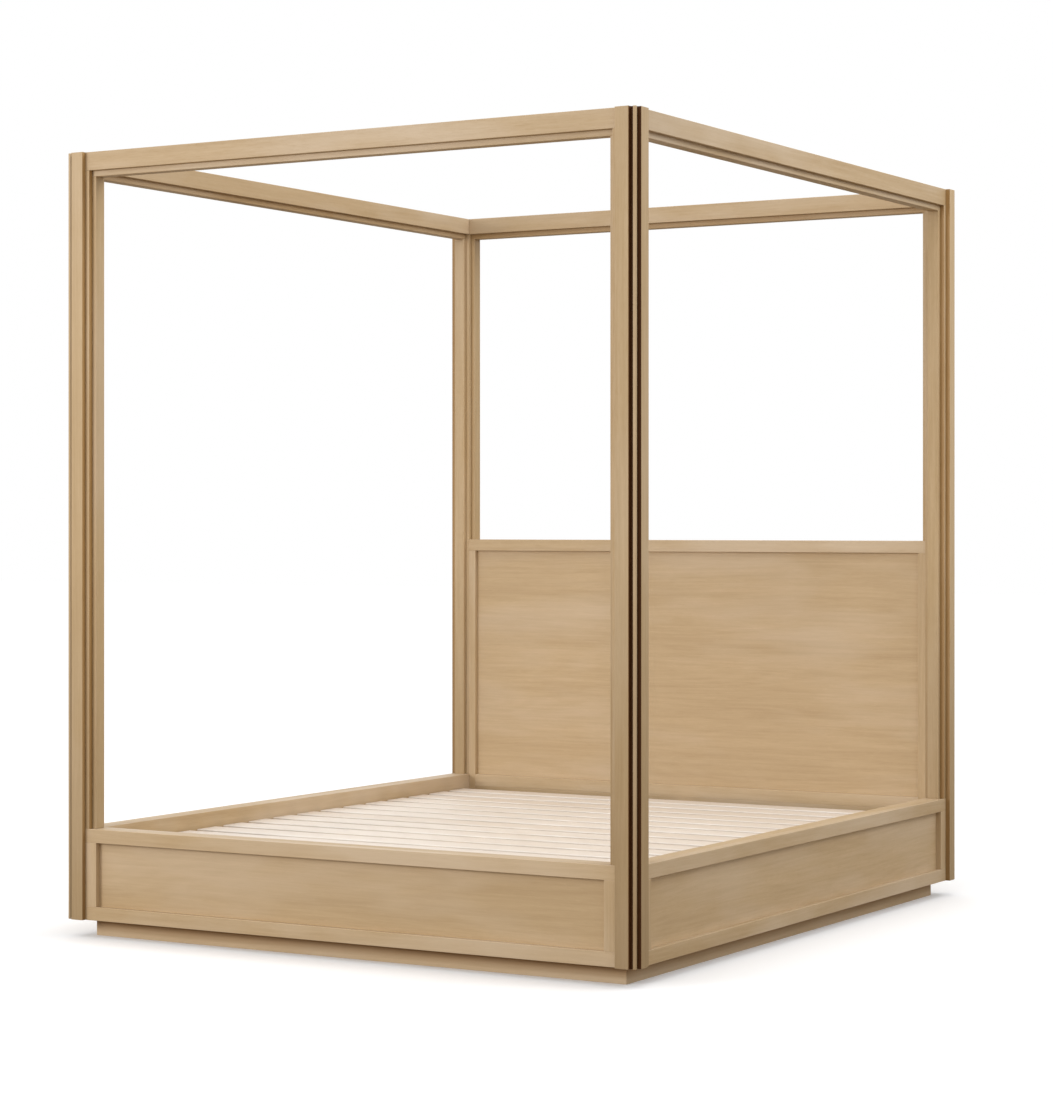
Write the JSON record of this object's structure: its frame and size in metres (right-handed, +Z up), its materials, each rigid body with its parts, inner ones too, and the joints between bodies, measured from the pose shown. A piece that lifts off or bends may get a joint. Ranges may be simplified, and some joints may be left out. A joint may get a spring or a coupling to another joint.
{
  "type": "four poster canopy bed",
  "caption": "Square four poster canopy bed in light oak, with stepped posts and rails, a panelled headboard, framed skirts over a recessed plinth, and a slatted base.",
  "frame": {"origin": "on the floor at the centre of the bed's outline", "axes": "X to the right as seen from the foot, Y from the foot to the head, Z up"},
  "size_m": [2.02, 2.328, 2.432],
  "materials": {
    "oak": "satin",
    "slat_wood": "matte",
    "steel": "satin",
    "nylon": "matte",
    "webbing": "matte"
  },
  "bodies": {
    "root": {"barrel_nuts": "steel", "beam_hangers": "steel", "bed_rail_foot": "oak", "bed_rail_head": "oak", "bed_rail_left": "oak", "bed_rail_right": "oak", "canopy_lip_foot": "oak", "canopy_lip_head": "oak", "canopy_lip_left": "oak", "canopy_lip_right": "oak", "canopy_rail_foot": "oak", "canopy_rail_head": "oak", "canopy_rail_left": "oak", "canopy_rail_right": "oak", "centre_beam": "slat_wood", "centre_legs": "slat_wood", "corner_bead_foot_left": "oak", "corner_bead_foot_right": "oak", "corner_bead_head_left": "oak", "corner_bead_head_right": "oak", "headboard_back_panel": "oak", "headboard_front_panel": "oak", "headboard_lower_panel": "oak", "headboard_mid_rail": "oak", "headboard_stiles": "oak", "headboard_top_rail": "oak", "jambs_foot": "oak", "jambs_head": "oak", "jambs_left": "oak", "jambs_right": "oak", "joint_studs": "steel", "ledger_screws": "steel", "leg_glides": "nylon", "plinth_board_foot": "oak", "plinth_board_head": "oak", "plinth_board_left": "oak", "plinth_board_right": "oak", "plinth_corner_blocks": "oak", "post_foot_left": "oak", "post_foot_right": "oak", "post_head_left": "oak", "post_head_right": "oak", "skirt_bottom_rail_foot": "oak", "skirt_bottom_rail_head": "oak", "skirt_bottom_rail_left": "oak", "skirt_bottom_rail_right": "oak", "skirt_panel_foot": "oak", "skirt_panel_left": "oak", "skirt_panel_right": "oak", "skirt_stiles_foot": "oak", "skirt_stiles_left": "oak", "skirt_stiles_right": "oak", "skirt_top_rail_foot": "oak", "skirt_top_rail_left": "oak", "skirt_top_rail_right": "oak", "slat_ledgers": "slat_wood", "slat_screws": "steel", "slat_straps": "webbing", "slats": "slat_wood"}
  },
  "joints": []
}
